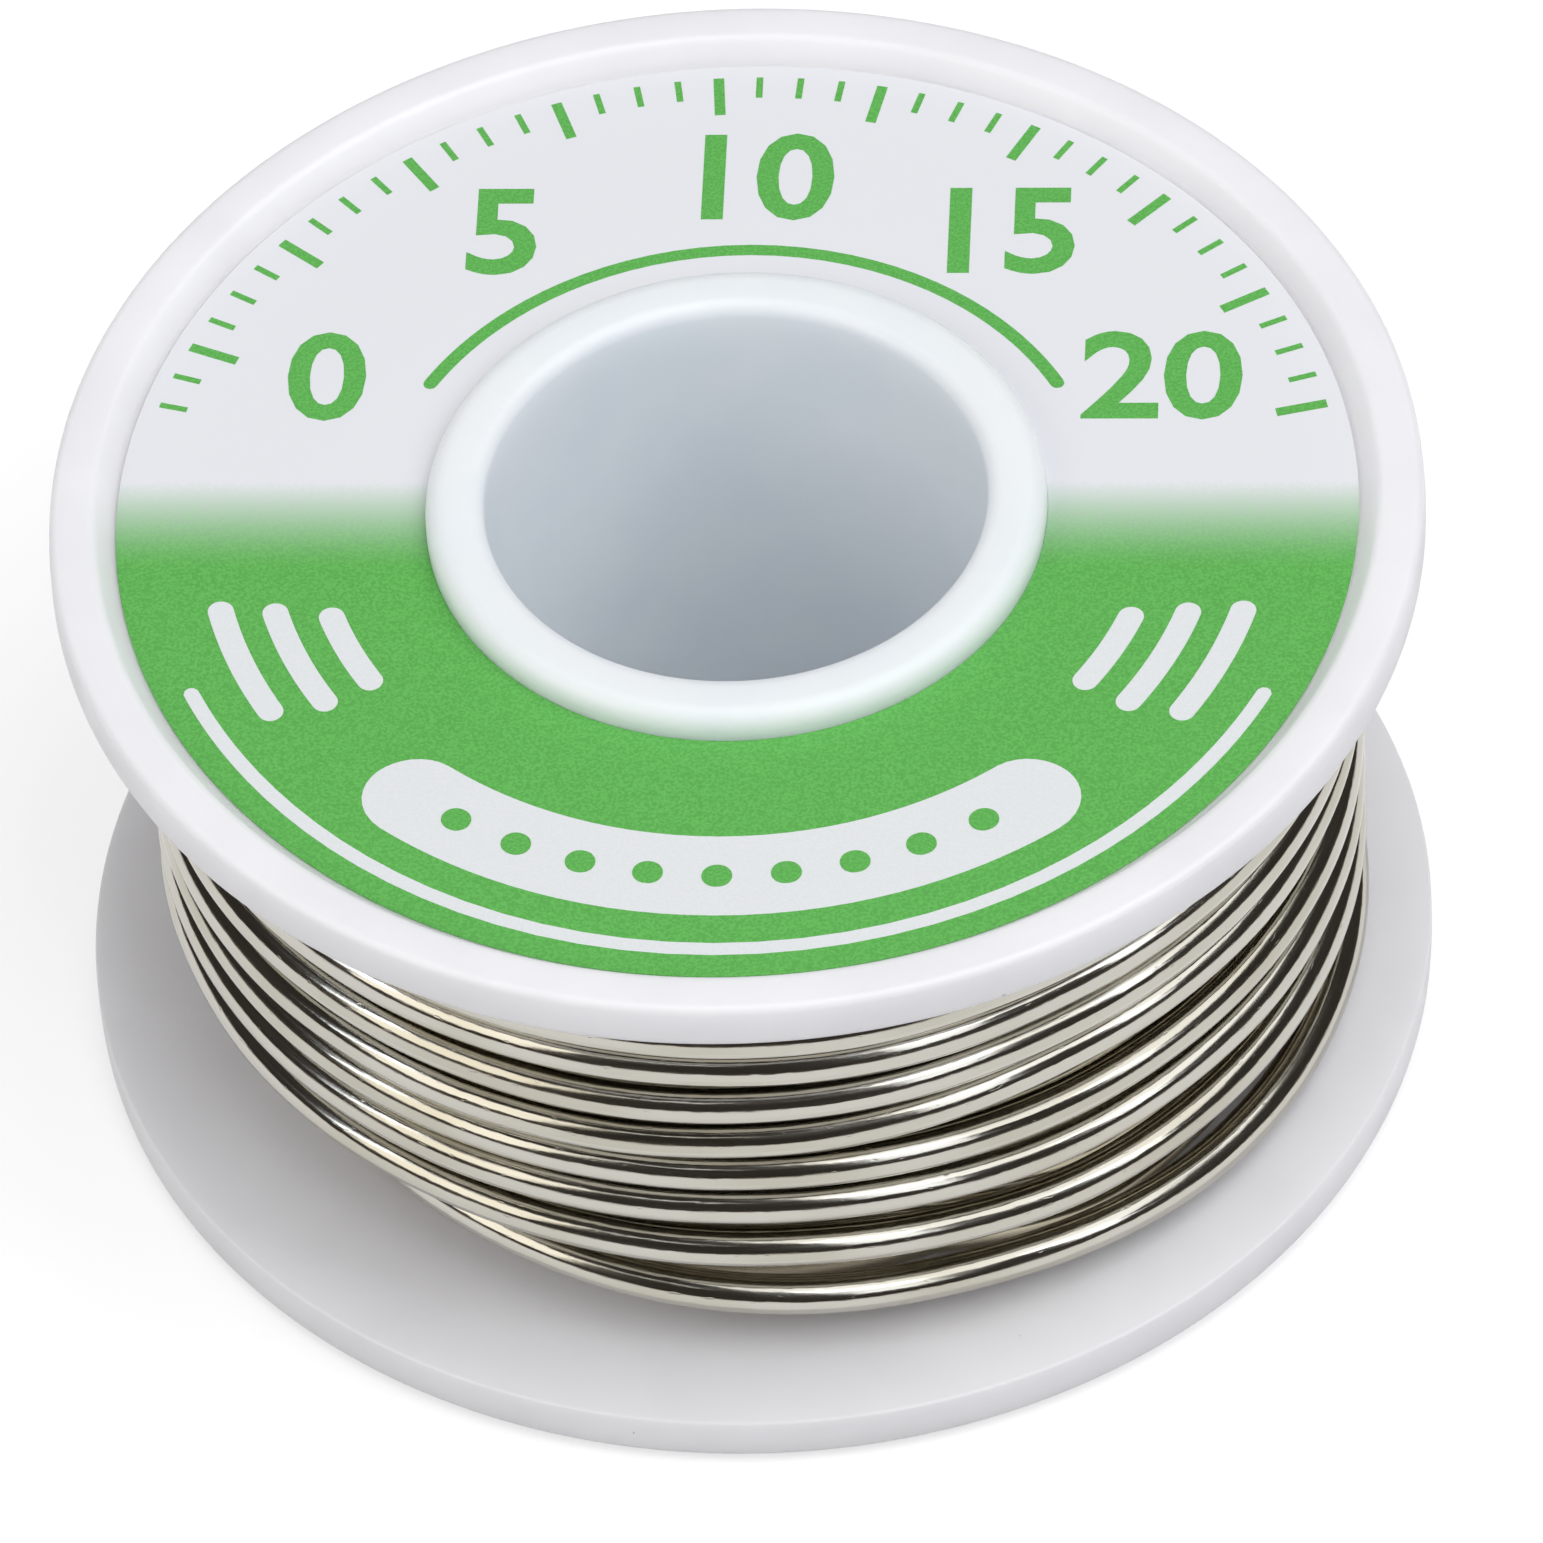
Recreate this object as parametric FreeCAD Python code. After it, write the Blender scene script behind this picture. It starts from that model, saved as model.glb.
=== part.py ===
"""A small plastic spool of thick solder wire, standing on its lower flange.

Two equal moulded flanges are pushed onto the ends of a hub tube and seat on
its shoulders. The ends of the tube stand level with the flange rims, as the
collars round the bore. A ring label lies in the recess of the upper flange.
The wire fills the space between the flanges: its inner layers are one plain
ring, and its outer layer is wound as one unbroken tube.

Millimetres, +Z up, origin on the spool's axis at the level it stands on.
Left is -X, right is +X, front is -Y and back is +Y.
"""
import FreeCAD, Part

import math
import os

from FreeCAD import Vector

# Flanges
flange_radius = 26.5
flange_thickness = 2.8
rim_width = 2.4
rim_edge_bevel = 0.6            # on both edges of the rim
recess_depth = 1.3              # from the rim's face down to the label's seat
recess_edge_bevel = 0.35
winding_width = 21.2            # from the inner face of one flange to the other

# Hub tube
bore_radius = 9.7
bore_mouth_bevel = 0.5
collar_radius = 12.0
shoulder_height = 0.8           # how far the barrel stands out past the collars
flange_play = 0.03              # radial, between a flange and the tube's end

# Label
label_thickness = 0.1
label_margin = 0.15             # from the label's edges to the collar and the rim

# Wire
wire_diameter = 1.6
wire_sides = 5                  # flat sides inside the true circle, to keep the faces few
least_turn_gap = 0.45           # least free space between two turns of the outer layer
layer_radius = 22.9             # of the outer layer, to the middle of the wire
layer_shift = 0.25              # the outer layer stands out to the right by this
first_turn_depth = 2.0          # the first turn starts this much further in
first_turn_lift = 2.1           # and this much higher than where it lies lowest
second_turn_gap = 0.83          # extra space between the first turn and the next
wire_play = 0.05                # between the wire and what it lies on
groove_headroom = 0.3           # over the first turn, in the inner layers
ring_play = 0.05                # between the inner layers and the barrel
measuring_step = 0.5            # along the wire, where its gap to itself is measured

# What the sizes above give
height = winding_width + 2 * flange_thickness
lower_face = flange_thickness
upper_face = flange_thickness + winding_width
barrel_radius = collar_radius + shoulder_height
recess_radius = flange_radius - rim_width
label_seat = height - recess_depth
wire_radius = wire_diameter / 2
lowest_turn = lower_face + wire_play + wire_radius
highest_turn = upper_face - wire_play - wire_radius
first_turn_radius = layer_radius - first_turn_depth
first_turn_height = lowest_turn + first_turn_lift
turns_width = highest_turn - first_turn_height - second_turn_gap
level_turns = math.floor(turns_width / (wire_diameter + least_turn_gap))
turn_pitch = turns_width / level_turns
second_turn_height = first_turn_height + turn_pitch + second_turn_gap
inner_layers_radius = layer_radius - layer_shift - wire_radius - wire_play
groove_radius = first_turn_radius - wire_radius - wire_play
groove_top = first_turn_height + wire_radius + groove_headroom


def turned(outline):
    """Turn a closed outline of (radius, height) corners about the axis."""
    corners = [Vector(radius, 0, level) for radius, level in outline]
    face = Part.Face(Part.makePolygon(corners + corners[:1]))
    return face.revolve(Vector(0, 0, 0), Vector(0, 0, 1), 360)


def lower_flange():
    """A plate with a hole for the tube, and a rim round the recess in its outer face."""
    hole_radius = collar_radius + flange_play
    return turned([
        (hole_radius, lower_face),
        (hole_radius, recess_depth),
        (recess_radius, recess_depth),
        (recess_radius, recess_edge_bevel),
        (recess_radius + recess_edge_bevel, 0),
        (flange_radius - rim_edge_bevel, 0),
        (flange_radius, rim_edge_bevel),
        (flange_radius, lower_face - rim_edge_bevel),
        (flange_radius - rim_edge_bevel, lower_face),
    ])


def upper_flange():
    """The same moulding as the lower flange, turned over onto the other end."""
    return lower_flange().mirror(Vector(0, 0, height / 2), Vector(0, 0, 1))


def hub_tube():
    """The tube that carries both flanges: a barrel between two stepped-down ends."""
    lower_end = [
        (bore_radius, bore_mouth_bevel),
        (bore_radius + bore_mouth_bevel, 0),
        (collar_radius, 0),
        (collar_radius, lower_face),
        (barrel_radius, lower_face),
    ]
    upper_end = [(radius, height - level) for radius, level in reversed(lower_end)]
    return turned(lower_end + upper_end)


def face_label():
    """The ring label that is stuck in the recess of the upper flange."""
    inner_radius = collar_radius + label_margin
    outer_radius = recess_radius - label_margin
    top = label_seat + label_thickness
    return turned([
        (inner_radius, label_seat), (outer_radius, label_seat),
        (outer_radius, top), (inner_radius, top),
    ])


def solder_inner_layers():
    """The wire under the outer layer, as a plain ring between the flanges.

    At the lower front left, the layer just under the outer one stops short.
    That leaves a groove, and the outer layer starts square on its end wall.
    """
    inner_radius = barrel_radius + ring_play
    ring = turned([
        (inner_radius, lower_face), (inner_layers_radius, lower_face),
        (inner_layers_radius, upper_face), (inner_radius, upper_face),
    ])
    depth = groove_top - lower_face
    reach = layer_radius
    front_left = Part.makeBox(
        reach, reach + wire_diameter, depth, Vector(-reach, -reach, lower_face)
    )
    floor = Part.makeCylinder(groove_radius, depth, Vector(0, 0, lower_face))
    return ring.cut(front_left.cut(floor))


def station(angle, radius, level, slope=0):
    """A point of the wire's route, with the route's direction there.

    The angle is in degrees, anticlockwise from the right as seen from above,
    and the slope is the climb for each millimetre round the turn.
    """
    turn = math.radians(angle)
    point = Vector(radius * math.cos(turn), radius * math.sin(turn), level)
    return point, Vector(-math.sin(turn), math.cos(turn), slope).normalize()


def outer_layer_stations():
    """The stations of the outer layer, from its start to its free end.

    The first turn comes out of the groove on the left, falls over the front
    until it lies on the lower flange on the right, and climbs at the back.
    Every further turn is level over the front half and climbs one pitch round
    the back. The last one ends on the right, under the upper flange.
    """
    left_radius = layer_radius - layer_shift
    right_radius = layer_radius + layer_shift
    half_turn = math.pi * layer_radius
    fall = (lowest_turn - first_turn_height) / half_turn
    climb = (second_turn_height - lowest_turn) / half_turn
    back_height = (second_turn_height + lowest_turn) / 2
    stations = [
        station(180, first_turn_radius, first_turn_height),
        station(270, layer_radius, first_turn_height, fall),
        station(0, right_radius, lowest_turn),
        station(90, layer_radius, back_height, climb),
    ]
    for turn in range(level_turns):
        level = second_turn_height + turn * turn_pitch
        stations.append(station(180, left_radius, level))
        stations.append(station(0, right_radius, level))
    return stations


def arc_middle(start, direction, end):
    """The middle of the arc that leaves start along direction and ends at end."""
    chord = end - start
    along = Vector(chord).normalize()
    side = direction - along * direction.dot(along)
    half_angle = math.atan2(side.Length, direction.dot(along)) / 2
    bulge = chord.Length / 2 * math.tan(half_angle)
    return (start + end) * 0.5 + side.normalize() * bulge


def biarc(first, second):
    """Two arcs from one station to the next, with one tangent where they meet."""
    (start, leaving), (end, arriving) = first, second
    span = end - start
    square = 2 * (leaving.dot(arriving) - 1)
    linear = -2 * span.dot(leaving + arriving)
    root = math.sqrt(linear ** 2 - 4 * square * span.dot(span))
    reach = (-linear - root) / (2 * square)
    meeting = (start + leaving * reach + end - arriving * reach) * 0.5
    return [
        Part.Arc(start, arc_middle(start, leaving, meeting), meeting),
        Part.Arc(meeting, arc_middle(end, arriving * -1, meeting), end),
    ]


def outer_layer_curves():
    """The route of the outer layer: a straight start, the turns and a straight end."""
    stations = outer_layer_stations()
    start, leaving = stations[0]
    end, arriving = stations[-1]
    curves = [Part.LineSegment(start - leaving * wire_diameter, start)]
    for first, second in zip(stations, stations[1:]):
        curves += biarc(first, second)
    curves.append(Part.LineSegment(end, end + arriving * wire_diameter))
    return curves


def least_gap(curves):
    """The least free space between the wire and itself, measured on points.

    The points are about a measuring step apart, and each is compared with
    those that come at least half a turn later.
    """
    points = []
    for curve in curves:
        steps = 1 + int(curve.length() / measuring_step)
        points += curve.discretize(Number=steps + 1)[:-1]
    half_turn = int(math.pi * first_turn_radius / measuring_step)
    nearest = min(
        point.distanceToPoint(other)
        for place, point in enumerate(points)
        for other in points[place + half_turn:]
    )
    return nearest - wire_diameter


def solder_outer_layer():
    """The outer layer of turns, one unbroken tube from its start to its free end."""
    curves = outer_layer_curves()
    route = Part.Wire([curve.toShape() for curve in curves])
    start = curves[0].StartPoint
    corners = []
    for side in range(wire_sides + 1):
        angle = 2 * math.pi * side / wire_sides
        corners.append(start + Vector(-math.cos(angle), 0, math.sin(angle)) * wire_radius)
    section = Part.makePolygon(corners)
    tube = route.makePipeShell([section], True, False)
    swept = Part.Face(section).Area * route.Length
    print("outer layer: %.0f mm of wire, %d level turns" % (route.Length, level_turns))
    print("its volume against section times length: %.4f" % (tube.Volume / swept))
    print("its least gap to itself: %.2f mm" % least_gap(curves))
    return tube


def main():
    """Make every piece and write it to its own file."""
    os.makedirs("parts", exist_ok=True)
    for make in (
        lower_flange, upper_flange, hub_tube, face_label,
        solder_inner_layers, solder_outer_layer,
    ):
        solid = make().Solids[0]
        solid.exportStep(os.path.join("parts", make.__name__ + ".step"))
        print("%-20s %8.1f mm3, valid: %s" % (make.__name__, solid.Volume, solid.isValid()))


main()
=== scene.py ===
"""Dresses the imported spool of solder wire: mouldings, label, winding, and the studio round them.

Sizes are in millimetres until a mesh is made, then in metres. The spool stands on
the floor with its axis on Z. Left is -X, right is +X and the camera is in front, at -Y.
"""
from __future__ import annotations

import logging
import math
from collections.abc import Callable
from dataclasses import dataclass
from enum import Enum
from functools import partial

import bpy
import numpy as np
from bpy.types import ID, Material, Mesh, NodeSocket, NodeTree, Object
from mathutils import Matrix, Vector

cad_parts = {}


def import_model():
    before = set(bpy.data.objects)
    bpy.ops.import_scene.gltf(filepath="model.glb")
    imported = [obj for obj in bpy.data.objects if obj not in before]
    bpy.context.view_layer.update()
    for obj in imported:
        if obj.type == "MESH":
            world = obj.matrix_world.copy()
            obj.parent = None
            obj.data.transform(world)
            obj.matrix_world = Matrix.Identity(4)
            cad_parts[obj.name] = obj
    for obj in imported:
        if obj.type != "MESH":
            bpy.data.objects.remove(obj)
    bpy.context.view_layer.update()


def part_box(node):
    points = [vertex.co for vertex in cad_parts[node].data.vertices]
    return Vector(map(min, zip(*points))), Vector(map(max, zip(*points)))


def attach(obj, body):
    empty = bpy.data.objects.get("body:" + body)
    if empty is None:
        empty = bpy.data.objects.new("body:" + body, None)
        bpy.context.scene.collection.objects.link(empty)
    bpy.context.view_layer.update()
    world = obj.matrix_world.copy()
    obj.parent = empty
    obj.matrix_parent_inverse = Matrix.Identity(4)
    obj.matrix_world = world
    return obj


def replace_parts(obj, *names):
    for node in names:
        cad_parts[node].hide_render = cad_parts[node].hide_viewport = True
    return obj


MM = 0.001
BODY = "root"
# Degrees from the spool's front. The label was stuck on by hand.
LABEL_TURN = -4.9
# A colour mix takes its share at socket 0 and its colours at 6 and 7, and gives socket 2. A map
# range takes a value, the two that it is mapped from and the two that it is mapped to.
COLOUR_MIX = {"output": 2, "data_type": "RGBA"}
SMOOTH = {"interpolation_type": "SMOOTHSTEP"}
WHITE = (1.0, 1.0, 1.0, 1.0)
log = logging.getLogger("spool")
AddNode = Callable[..., NodeSocket]
Sizes = tuple[float, ...]
# A patch of print: its points, with heights of zero, and its quads.
Patch = tuple[np.ndarray, np.ndarray]


def linear(code: str) -> tuple[float, float, float, float]:
    """Turns an sRGB colour to linear light.

    Args:
        code: Six hex digits, red first.

    Returns:
        Linear red, green, blue and an alpha of one.
    """
    parts = [int(code[place:place + 2], 16) / 255 for place in (0, 2, 4)]
    light = [part / 12.92 if part <= 0.04045 else ((part + 0.055) / 1.055) ** 2.4 for part in parts]
    return light[0], light[1], light[2], 1.0


def add_node(tree: NodeTree, kind: str, inputs: dict | tuple = (), output: str | int = 0, **settings
             ) -> NodeSocket | None:
    """Adds a node with its settings, values and links.

    Args:
        tree: The node tree that gets the node.
        kind: The node's type name, less the ShaderNode that it starts with.
        inputs: Values, or outputs that feed them, in the order of the sockets or by name or number.
        output: Name or number of the output that is handed back.
        **settings: Properties of the node itself.

    Returns:
        That output, or None where the node has none.
    """
    node = tree.nodes.new("ShaderNode" + kind)
    for name, value in settings.items():
        setattr(node, name, value)
    for name, value in inputs.items() if isinstance(inputs, dict) else enumerate(inputs):
        socket = node.inputs[name]
        if isinstance(value, NodeSocket):
            tree.links.new(value, socket)
        else:
            socket.default_value = value
    return node.outputs[output] if node.outputs else None


def mottled(add: AddNode, noise: NodeSocket, low: float, high: float, first: str, second: str) -> NodeSocket:
    """Mixes two shades by noise: the first one alone up to a low value, the second from a high one on."""
    share = add("MapRange", (noise, low, high), **SMOOTH)
    return add("Mix", {0: share, 6: linear(first), 7: linear(second)}, **COLOUR_MIX)


def millimetres(add: AddNode) -> NodeSocket:
    """Adds the object's own coordinates, in millimetres."""
    place = add("TexCoord", output="Object")
    return add("VectorMath", {0: place, "Scale": 1 / MM}, operation="SCALE")


@dataclass(frozen=True)
class Finish:
    """A surface finish. Its noise has blots about as large as its grain sizes, in millimetres."""

    name: str

    def make(self) -> Material:
        """Builds the material from the finish's own shader.

        Returns:
            The material.
        """
        material = bpy.data.materials.new(self.name)
        material.use_nodes = True
        material.node_tree.nodes.clear()
        add = partial(add_node, material.node_tree)
        add("OutputMaterial", (self.shader(add),))
        return material

    def shader(self, add: AddNode) -> NodeSocket:
        """Adds the finish's own nodes and gives the socket of its shader."""
        raise NotImplementedError


@dataclass(frozen=True)
class MouldedStyrene(Finish):
    """White polystyrene, injection moulded: satin, very slightly uneven, with stray dark specks.

    Light goes into it a little way, which makes its edges look soft.
    """

    name: str = "moulded_white_styrene"
    colour: str = "F2F1F3"
    worn_colour: str = "EEEDEF"
    speck_colour: str = "77777C"
    roughness: float = 0.42
    ior: float = 1.59
    scatter: float = 0.8
    scatter_depth: float = 1.2
    blot: float = 6.0
    sheen_blot: float = 2.5
    texture_grain: float = 0.35
    texture_depth: float = 0.02
    texture_strength: float = 0.12
    speck_spacing: float = 5.5
    speck_radius: float = 0.1
    speck_bend: float = 0.25
    bends_per_mm: float = 3.0

    def shader(self, add: AddNode) -> NodeSocket:
        """Lays out blots in the colour, specks at the centres of some cells, and a fine moulded bump.

        Args:
            add: Adds a node to the tree.

        Returns:
            The shader's socket.
        """
        place = millimetres(add)
        blots = add("TexNoise", {"Vector": place, "Scale": 1 / self.blot})
        base = mottled(add, blots, 0.35, 0.7, self.colour, self.worn_colour)
        # The place is bent a little, so that the specks aren't quite round.
        bend = add("TexNoise", {"Vector": place, "Scale": self.bends_per_mm}, "Color")
        push = add("VectorMath", {0: bend, "Scale": self.speck_bend}, operation="SCALE")
        bent_place = add("VectorMath", (place, push))
        distance = add("TexVoronoi", {"Vector": bent_place, "Scale": 1 / self.speck_spacing})
        # The distance to a cell's centre is in units of the spacing.
        reach = self.speck_radius / self.speck_spacing
        near = add("MapRange", (distance, reach * 0.6, reach * 1.2, 1.0, 0.0), **SMOOTH)
        chance = add("SeparateColor", (distance.node.outputs["Color"],))
        chosen = add("MapRange", (chance, 0.45, 0.9), **SMOOTH)
        speck = add("Math", (near, chosen), operation="MULTIPLY")
        base = add("Mix", {0: speck, 6: base, 7: linear(self.speck_colour)}, **COLOUR_MIX)
        texture = add("TexNoise", {"Vector": place, "Scale": 1 / self.texture_grain, "Detail": 3.0})
        bump = add("Bump", {
            "Height": texture, "Strength": self.texture_strength, "Distance": self.texture_depth * MM,
        })
        sheen = add("TexNoise", {"Vector": place, "Scale": 1 / self.sheen_blot})
        rough = add("MapRange", (sheen, 0.2, 0.8, self.roughness - 0.05, self.roughness + 0.06), **SMOOTH)
        return add("BsdfPrincipled", {
            "Base Color": base, "Roughness": rough, "IOR": self.ior, "Normal": bump,
            "Subsurface Weight": self.scatter, "Subsurface Scale": self.scatter_depth * MM,
            "Subsurface Radius": (1.0, 1.0, 1.0),
        })


@dataclass(frozen=True)
class LabelPaper(Finish):
    """Coated paper, offset printed: a white half, and a green half that fades in over a few millimetres."""

    name: str = "printed_label_paper"
    paper_colour: str = "E6E7EA"
    ink_colour: str = "67BD59"
    ink_dark_colour: str = "57AB4B"
    fade_start: float = 1.5
    fade_end: float = -3.1
    fade_bend: float = 1.7
    roughness: float = 0.5
    ior: float = 1.5
    ink_grain: float = 0.12
    ink_raggedness: float = 0.18
    paper_grain: float = 0.12
    paper_depth: float = 0.01
    paper_strength: float = 0.08

    def shader(self, add: AddNode) -> NodeSocket:
        """Lays ink on paper. The ink's share grows with the way to the front, broken up by its grain.

        Args:
            add: Adds a node to the tree.

        Returns:
            The shader's socket.
        """
        place = millimetres(add)
        turn = math.radians(LABEL_TURN)
        forward = (-math.sin(turn), math.cos(turn), 0.0)
        across = add("VectorMath", (place, forward), "Value", operation="DOT_PRODUCT")
        grain = add("TexNoise", {"Vector": place, "Scale": 1 / self.ink_grain, "Detail": 3.0})
        shift = add("MapRange", (grain, 0.2, 0.8, -self.ink_raggedness, self.ink_raggedness), **SMOOTH)
        ragged = add("Math", (across, shift), operation="ADD")
        bare = add("MapRange", (ragged, self.fade_end, self.fade_start))
        bare = add("Math", (bare, self.fade_bend), operation="POWER")
        share = add("Math", (1.0, bare), operation="SUBTRACT")
        ink = mottled(add, grain, 0.35, 0.65, self.ink_colour, self.ink_dark_colour)
        base = add("Mix", {0: share, 6: linear(self.paper_colour), 7: ink}, **COLOUR_MIX)
        fibres = add("TexNoise", {"Vector": place, "Scale": 1 / self.paper_grain})
        bump = add("Bump", {
            "Height": fibres, "Strength": self.paper_strength, "Distance": self.paper_depth * MM,
        })
        return add("BsdfPrincipled", {
            "Base Color": base, "Roughness": self.roughness, "IOR": self.ior, "Normal": bump,
        })


@dataclass(frozen=True)
class PrintingInk(Finish):
    """Offset ink in a solid patch, whose fine grain shows as two close shades."""

    colour: str
    grain_colour: str
    grain: float = 0.11
    detail: float = 3.0
    contrast: float = 0.15
    roughness: float = 0.48

    def shader(self, add: AddNode) -> NodeSocket:
        """Lays out the grain. It changes from shade to shade over the contrast at both sides of a half.

        Args:
            add: Adds a node to the tree.

        Returns:
            The shader's socket.
        """
        grain = add("TexNoise", {"Vector": millimetres(add), "Scale": 1 / self.grain, "Detail": self.detail})
        base = mottled(add, grain, 0.5 - self.contrast, 0.5 + self.contrast, self.colour, self.grain_colour)
        return add("BsdfPrincipled", {"Base Color": base, "Roughness": self.roughness})


@dataclass(frozen=True)
class FluxResin(PrintingInk):
    """Rosin flux, set hard in the wire's core: amber, cloudy and glassy where the wire is cut."""

    name: str = "flux_resin"
    colour: str = "B4792E"
    grain_colour: str = "8F5A1E"
    grain: float = 0.15
    detail: float = 2.0
    contrast: float = 0.2
    roughness: float = 0.25


@dataclass(frozen=True)
class DrawnSolder(Finish):
    """Tin, silver and copper solder, drawn through a die: bright, with faint lines along the wire.

    The pattern follows the wire's own UV map, in metres along and round the wire.
    """

    name: str = "drawn_bright_solder"
    colour: str = "C3C0B7"
    dull_colour: str = "B8B4A7"
    roughness: float = 0.13
    # Each pattern's size along the wire and round it, and how many finer layers it has.
    lines: Sizes = (5.0, 0.12, 3.0)
    dents: Sizes = (1.3, 0.28, 2.0)
    scrapes: Sizes = (0.7, 0.16, 1.0)
    line_depth: float = 0.12
    nick_spacing: float = 4.0
    dull_blots_per_mm: float = 0.12
    relief: float = 0.02
    sharpness: float = 0.4

    def streaks(self, add: AddNode, place: NodeSocket, length: float, width: float, detail: float
                ) -> NodeSocket:
        """Adds noise on the wire, whose blots have a length along it and a width round it."""
        stretched = add("Mapping", {"Vector": place, "Scale": (1 / length, 1 / width, 1.0)})
        return add("TexNoise", {"Vector": stretched, "Scale": 1.0, "Detail": detail})

    def shader(self, add: AddNode) -> NodeSocket:
        """Lays out drawing lines, dents, scrapes and nicks in the bump, dull stretches in the colour.

        Args:
            add: Adds a node to the tree.

        Returns:
            The shader's socket.
        """
        metres = add("UVMap", uv_map="wire")
        place = add("VectorMath", {0: metres, "Scale": 1 / MM}, operation="SCALE")
        lines, dents, scrapes = (
            self.streaks(add, place, *sizes) for sizes in (self.lines, self.dents, self.scrapes)
        )
        cells = add("TexVoronoi", {"Vector": place, "Scale": 1 / self.nick_spacing})
        nick = add("MapRange", (cells, 0.0, 0.045, -1.0, 0.0), **SMOOTH)
        scrape = add("MapRange", (scrapes, 0.66, 0.76, 0.0, -0.3), **SMOOTH)
        marks = add("Math", (nick, scrape), operation="ADD")
        height = add("Math", (lines, self.line_depth), operation="MULTIPLY")
        for part in (marks, dents):
            height = add("Math", (height, part), operation="ADD")
        bump = add("Bump", {"Height": height, "Strength": self.sharpness, "Distance": self.relief * MM})
        dull = add("TexNoise", {"Vector": place, "Scale": self.dull_blots_per_mm})
        base = mottled(add, dull, 0.4, 0.7, self.colour, self.dull_colour)
        rough = add("MapRange", (lines, 0.3, 0.7, self.roughness - 0.03, self.roughness + 0.05), **SMOOTH)
        return add("BsdfPrincipled", {"Base Color": base, "Metallic": 1, "Roughness": rough, "Normal": bump})


def grid_quads(rows: int, columns: int, rows_close: bool, columns_close: bool) -> np.ndarray:
    """Lists the quads of a grid of points whose index is row times columns plus column.

    Args:
        rows: Number of rows.
        columns: Number of columns.
        rows_close: Whether the last row joins the first.
        columns_close: Whether the last column joins the first.

    Returns:
        One row of four point indices for each quad.
    """
    row = np.arange(rows if rows_close else rows - 1)[:, None]
    column = np.arange(columns if columns_close else columns - 1)[None, :]
    next_row = (row + 1) % rows
    next_column = (column + 1) % columns
    corners = [row * columns + column, row * columns + next_column,
               next_row * columns + next_column, next_row * columns + column]
    return np.stack([corner.ravel() for corner in corners], axis=1)


def linked_object(name: str, data: ID) -> Object:
    """Makes an object of a mesh, lamp, camera or text, and links it to the scene.

    Args:
        name: The object's name.
        data: What it shows.

    Returns:
        The object, at the origin.
    """
    thing = bpy.data.objects.new(name, data)
    bpy.context.scene.collection.objects.link(thing)
    return thing


def mesh_piece(name: str, points: np.ndarray, faces: list, material: Material,
               smooth: bool | np.ndarray = True) -> Object:
    """Makes a piece of the spool from points in millimetres and rides it on the body.

    Args:
        name: The piece's name.
        points: One row of X, Y and Z for each point.
        faces: Lists of point indices, anticlockwise seen from outside.
        material: The piece's finish.
        smooth: Whether its faces are smooth shaded, for all or for each.

    Returns:
        The new object, at the origin.
    """
    mesh = bpy.data.meshes.new(name)
    mesh.from_pydata(points * MM, [], faces)
    mesh.polygons.foreach_set("use_smooth", np.full(len(faces), smooth))
    mesh.materials.append(material)
    mesh.validate()
    piece = linked_object(name, mesh)
    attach(piece, BODY)
    log.info("%s: %d faces", name, len(mesh.polygons))
    return piece


def unit(rows: np.ndarray) -> np.ndarray:
    """Scales each row to a length of one."""
    return rows / np.linalg.norm(rows, axis=1, keepdims=True)


def rounded_outline(corners: list[Sizes], steps: int = 6, hold: float = 0.05) -> np.ndarray:
    """Rounds the corners of a closed outline.

    Each corner becomes an arc that touches its two sides at the corner's radius
    over the tangent of half its inner angle. The arc's normals turn evenly from one
    side's to the other's. One point more on each side holds the flat's shading flat.

    Args:
        corners: Radius from the axis, height, and rounding radius of each corner.
        steps: Number of chords in each arc.
        hold: How far beyond the arc the holding points lie.

    Returns:
        The outline's points, as rows of radius and height.
    """
    table = np.array(corners, float)
    corner, rounding = table[:, :2], table[:, 2:]
    before = unit(np.roll(corner, 1, axis=0) - corner)
    after = unit(np.roll(corner, -1, axis=0) - corner)
    inner_angle = np.arccos(np.clip((before * after).sum(axis=1), -1, 1))[:, None]
    touch = rounding / np.tan(inner_angle / 2)
    centre = corner + unit(before + after) * rounding / np.sin(inner_angle / 2)
    first = (corner + before * touch - centre) / rounding
    last = (corner + after * touch - centre) / rounding
    turn = math.pi - inner_angle[:, :, None]
    share = np.linspace(0, 1, steps + 1)[None, :, None]
    spread = first[:, None] * np.sin((1 - share) * turn) + last[:, None] * np.sin(share * turn)
    arcs = centre[:, None] + spread / np.sin(turn) * rounding[:, :, None]
    lead = (corner + before * (touch + hold))[:, None]
    trail = (corner + after * (touch + hold))[:, None]
    return np.concatenate([lead, arcs, trail], axis=1).reshape(-1, 2)


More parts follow.
